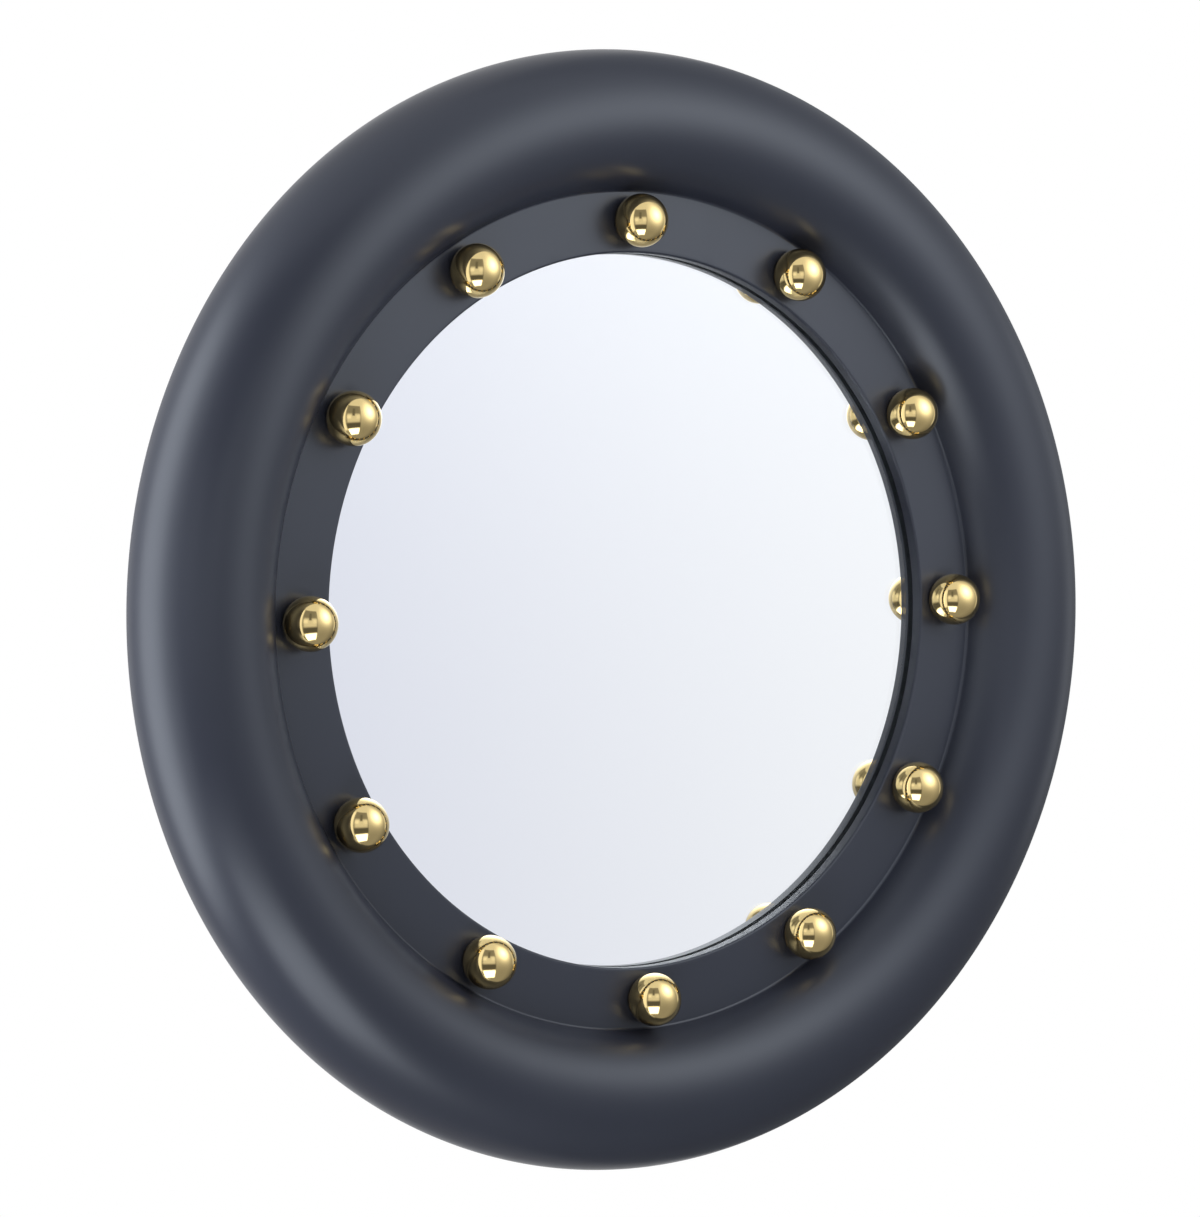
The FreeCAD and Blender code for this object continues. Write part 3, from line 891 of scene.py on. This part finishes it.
def make_tent():
    """The light tent in front of the mirror: part of a sphere round it, lit from within its cloth.

    A direction from the mirror is an azimuth, 0 in front and positive to the right, and an elevation.
    The cloth is paler above than below, with soft-edged rectangles of directions laid over it and one
    round glow added. The mirror itself shows the backdrop instead, so there the tent is clear.
    """
    material, shader, place = new_finish("tent_cloth")
    azimuth, elevation = shader.bearings(place)
    light = tent_low_level + (tent_high_level - tent_low_level) * shader.step(
        elevation, *tent_rise_elevations)
    light = light * (1 - tent_side_loss * shader.step(azimuth, *tent_side_azimuths))
    for level, middle, half, soft in tent_panels:
        beside = 1 - shader.step(abs(azimuth - middle[0]), half[0] - soft, half[0] + soft)
        above = 1 - shader.step(abs(elevation - middle[1]), half[1] - soft, half[1] + soft)
        light = light + (level - light) * (beside * above)
    across = (azimuth - glow_middle[0]) * (1 / glow_spread[0])
    above = (elevation - glow_middle[1]) * (1 / glow_spread[1])
    light = light + glow_level * shader.math("EXPONENT", -0.5 * (across * across + above * above))
    glow = shader.add("VectorMath", {"operation": "SCALE"}, Vector=light_colour, Scale=light)
    cloth = shader.add("Emission", Color=shader.out(glow), Strength=1.0)
    clear = shader.add("BsdfTransparent")
    path = shader.add("LightPath")
    once = shader.math("LESS_THAN", shader.out(path, "Glossy_Depth"), one_reflection)
    mirrored = once * shader.out(path, "Is_Transmission_Ray")
    both = shader.add("MixShader", _0=mirrored, _1=shader.out(cloth), _2=shader.out(clear))
    shader.add("OutputMaterial", Surface=shader.out(both))
    rows, columns = tent_grid
    around = np.radians(np.linspace(*tent_azimuths, columns))[None]
    up = np.radians(np.linspace(-90, 90, rows))[:, None]
    points = tent_radius * np.stack(np.broadcast_arrays(
        np.cos(up) * np.sin(around), -np.cos(up) * np.cos(around), np.sin(up)), axis=-1)
    tent = stage_mesh("tent", points, False, material)
    tent.visible_camera = False


def stage_mesh(name, points, closed, material):
    """A grid of points as one sheet of the stage."""
    rows, columns, _ = points.shape
    mesh = bpy.data.meshes.new(name)
    mesh.from_pydata(points.reshape(-1, 3).tolist(), [], quads_of(rows, columns, closed).tolist())
    mesh.materials.append(material)
    sheet = bpy.data.objects.new(name, mesh)
    bpy.context.scene.collection.objects.link(sheet)
    return sheet


def make_floor():
    """A pale round floor well below the mirror, which fades out into the backdrop."""
    material, shader, place = new_finish("pale_floor")
    ground = shader.out(shader.add("VectorMath", {"operation": "MULTIPLY"}, _0=place, _1=(1.0, 1.0, 0.0)))
    distance = shader.add("VectorMath", {"operation": "LENGTH"}, Vector=ground)
    fade = [share * floor_radius for share in floor_fade_shares]
    shown = 1 - shader.step(shader.out(distance, "Value"), *fade)
    grain = shader.noise(place, 30.0, 4.0)
    tone = shader.mixed(grain, colour(0.86, 0.86, 0.86), colour(0.9, 0.9, 0.9))
    surface = shader.add("BsdfPrincipled", Base_Color=tone, Roughness=0.9)
    clear = shader.add("BsdfTransparent")
    both = shader.add("MixShader", _0=shown, _1=shader.out(clear), _2=shader.out(surface))
    shader.add("OutputMaterial", Surface=shader.out(both))
    rows, columns = floor_grid
    radius = np.linspace(floor_radius, 0, rows)[:, None]
    angle = full_turn(columns)[None]
    points = np.stack(np.broadcast_arrays(
        radius * np.sin(angle), radius * np.cos(angle), -floor_below_centre), axis=-1)
    floor = stage_mesh("floor", points, True, material)
    floor.visible_diffuse = False
    floor.visible_glossy = False
    floor.visible_shadow = False


def make_camera():
    """The camera of the photograph: a yaw from +Y towards +X, a pitch and a roll."""
    forward = Vector((
        math.sin(camera_yaw) * math.cos(camera_pitch), math.cos(camera_yaw) * math.cos(camera_pitch),
        math.sin(camera_pitch)))
    right = Vector((math.cos(camera_yaw), -math.sin(camera_yaw), 0.0))
    up = right.cross(forward)
    rolled_right = math.cos(camera_roll) * right + math.sin(camera_roll) * up
    rolled_up = math.cos(camera_roll) * up - math.sin(camera_roll) * right
    data = bpy.data.cameras.new("camera")
    data.sensor_fit = "VERTICAL"
    data.sensor_width = sensor_size
    data.sensor_height = sensor_size
    data.lens = focal_length_in_pixels / image_height * sensor_size
    camera = bpy.data.objects.new("camera", data)
    camera.matrix_world = Matrix((rolled_right, rolled_up, -forward)).transposed().to_4x4()
    camera.location = camera_place
    bpy.context.scene.collection.objects.link(camera)
    bpy.context.scene.camera = camera


lacquer = satin_lacquer()
brass = polished_brass()
zinc = zinc_plate()
back = sealed_back()
make_outer_frame(lacquer, back, routed_fibreboard())
make_ball_ring(lacquer, primer_with_painted_light(), back)
for hour in range(1, hours + 1):
    make_ball(hour, brass)
make_silvering(silvering())
for side in ("left", "right"):
    make_d_ring(side, side + "_ring", "d_ring_" + side, zinc)
    make_strap(side, side + "_ring", "hanger_strap_" + side, zinc)
make_screws(zinc)
dress("mirror_glass", clear_glass())
dress("glass_foam_ring", closed_cell_foam())
dress("backing_board", smooth_hardboard())
for node in ("ball_washers", "ball_screws", "ring_screws"):
    dress(node, zinc)
make_backdrop()
make_tent()
make_floor()
make_camera()
bpy.context.scene.view_settings.view_transform = "Standard"
